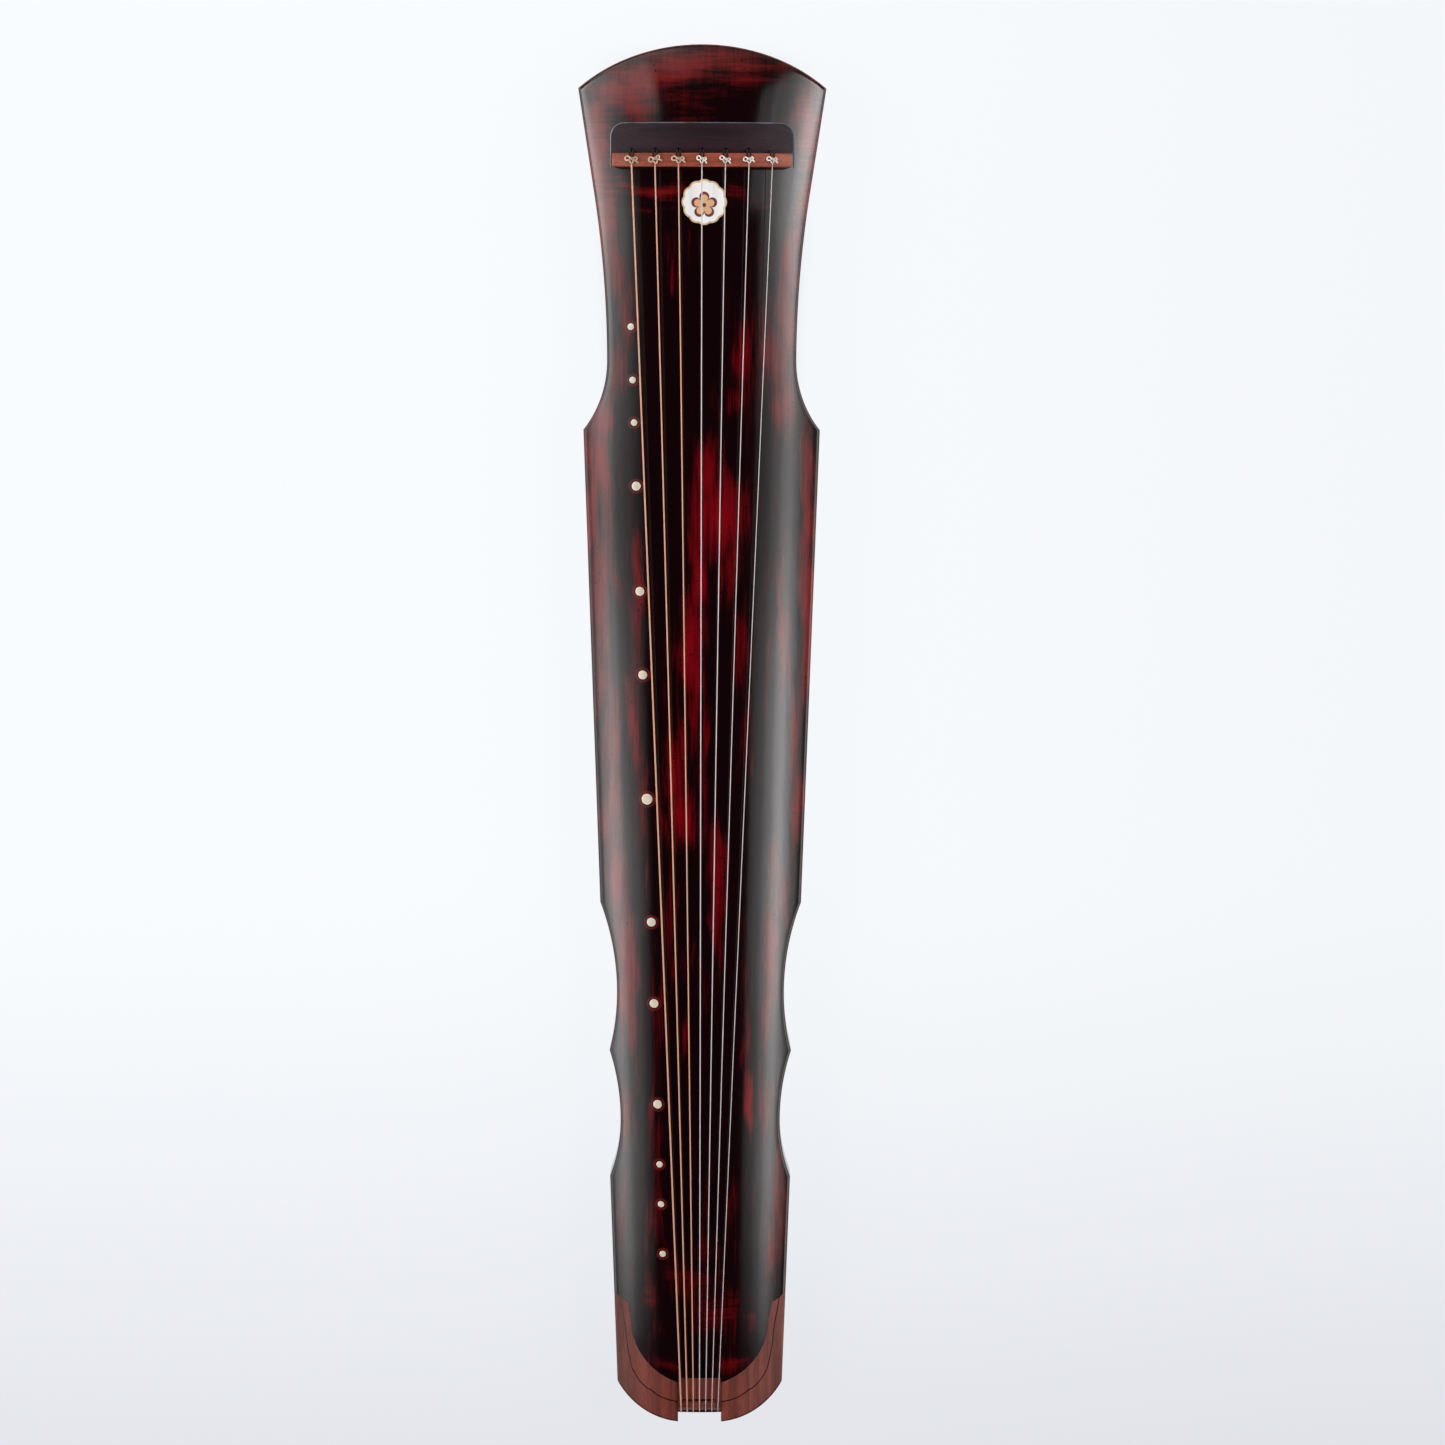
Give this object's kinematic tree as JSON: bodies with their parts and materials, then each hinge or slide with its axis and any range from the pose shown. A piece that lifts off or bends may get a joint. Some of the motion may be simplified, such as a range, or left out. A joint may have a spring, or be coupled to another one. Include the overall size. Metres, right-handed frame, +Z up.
{
  "type": "guqin",
  "caption": "Seven-string Chinese zither with a lacquered arched soundboard, shell studs, a bridge, a nut, tuning pegs under the head and two goose feet.",
  "frame": {"origin": "on the table, under the middle of the instrument's length and width, where it stands on its goose feet and peg guards", "axes": "+X from the tail to the head, +Y to the side with the hui studs, away from the player, +Z up"},
  "size_m": [1.2323, 0.2156, 0.0994],
  "materials": {
    "lacquer": "many coats of dark lacquer over wood, near black with deep red cloud, satin gloss",
    "rosewood": "reddish-brown hardwood with fine long grain, oiled and lightly polished",
    "ebony": "dark purple-brown hardwood, satin",
    "bare_wood": "bare softwood, sawn and planed",
    "shell": "mother-of-pearl, polished flush with the lacquer",
    "copper_winding": "copper-coloured flat winding round a steel core",
    "silver_winding": "silver-grey flat winding round a steel core",
    "silk_cord": "twisted dark brown silk cord",
    "paper": "printed paper label, matt"
  },
  "bodies": {
    "instrument": {"soundboard": "lacquer", "back_board": "lacquer", "bridge": "rosewood", "dragon_gums": "rosewood", "gum_rest": "rosewood", "crown_corner_far": "rosewood", "crown_corner_near": "rosewood", "tail_rest_far": "rosewood", "tail_rest_near": "rosewood", "dragon_pool_rim": "rosewood", "phoenix_pool_rim": "rosewood", "goose_foot_far": "rosewood", "goose_foot_near": "rosewood", "peg_guard_far": "rosewood", "peg_guard_near": "rosewood", "dew_collector": "ebony", "peg_plate": "ebony", "foot_socket_far": "ebony", "foot_socket_near": "ebony", "heaven_pillar": "bare_wood", "earth_pillar": "bare_wood", "hui_01": "shell", "hui_02": "shell", "hui_03": "shell", "hui_04": "shell", "hui_05": "shell", "hui_06": "shell", "hui_07": "shell", "hui_08": "shell", "hui_09": "shell", "hui_10": "shell", "hui_11": "shell", "hui_12": "shell", "hui_13": "shell", "string_1": "copper_winding", "string_2": "copper_winding", "string_3": "copper_winding", "string_winding_far": "copper_winding", "string_4": "silver_winding", "string_5": "silver_winding", "string_6": "silver_winding", "string_7": "silver_winding", "string_winding_near": "silver_winding", "tuning_cord_1": "silk_cord", "tuning_cord_2": "silk_cord", "tuning_cord_3": "silk_cord", "tuning_cord_4": "silk_cord", "tuning_cord_5": "silk_cord", "tuning_cord_6": "silk_cord", "tuning_cord_7": "silk_cord", "round_label": "paper"},
    "peg_1": {"tuning_peg_1": "rosewood"},
    "peg_2": {"tuning_peg_2": "rosewood"},
    "peg_3": {"tuning_peg_3": "rosewood"},
    "peg_4": {"tuning_peg_4": "rosewood"},
    "peg_5": {"tuning_peg_5": "rosewood"},
    "peg_6": {"tuning_peg_6": "rosewood"},
    "peg_7": {"tuning_peg_7": "rosewood"}
  },
  "joints": [
    {"name": "peg_1_turn", "type": "hinge", "parent": "instrument", "child": "peg_1", "pos_m": [0.5256, 0.0606, 0.02], "axis": [0, 0, 1], "continuous": true},
    {"name": "peg_2_turn", "type": "hinge", "parent": "instrument", "child": "peg_2", "pos_m": [0.5256, 0.0404, 0.02], "axis": [0, 0, 1], "continuous": true},
    {"name": "peg_3_turn", "type": "hinge", "parent": "instrument", "child": "peg_3", "pos_m": [0.5256, 0.0202, 0.02], "axis": [0, 0, 1], "continuous": true},
    {"name": "peg_4_turn", "type": "hinge", "parent": "instrument", "child": "peg_4", "pos_m": [0.5256, 0, 0.02], "axis": [0, 0, 1], "continuous": true},
    {"name": "peg_5_turn", "type": "hinge", "parent": "instrument", "child": "peg_5", "pos_m": [0.5256, -0.0202, 0.02], "axis": [0, 0, 1], "continuous": true},
    {"name": "peg_6_turn", "type": "hinge", "parent": "instrument", "child": "peg_6", "pos_m": [0.5256, -0.0404, 0.02], "axis": [0, 0, 1], "continuous": true},
    {"name": "peg_7_turn", "type": "hinge", "parent": "instrument", "child": "peg_7", "pos_m": [0.5256, -0.0606, 0.02], "axis": [0, 0, 1], "continuous": true}
  ]
}
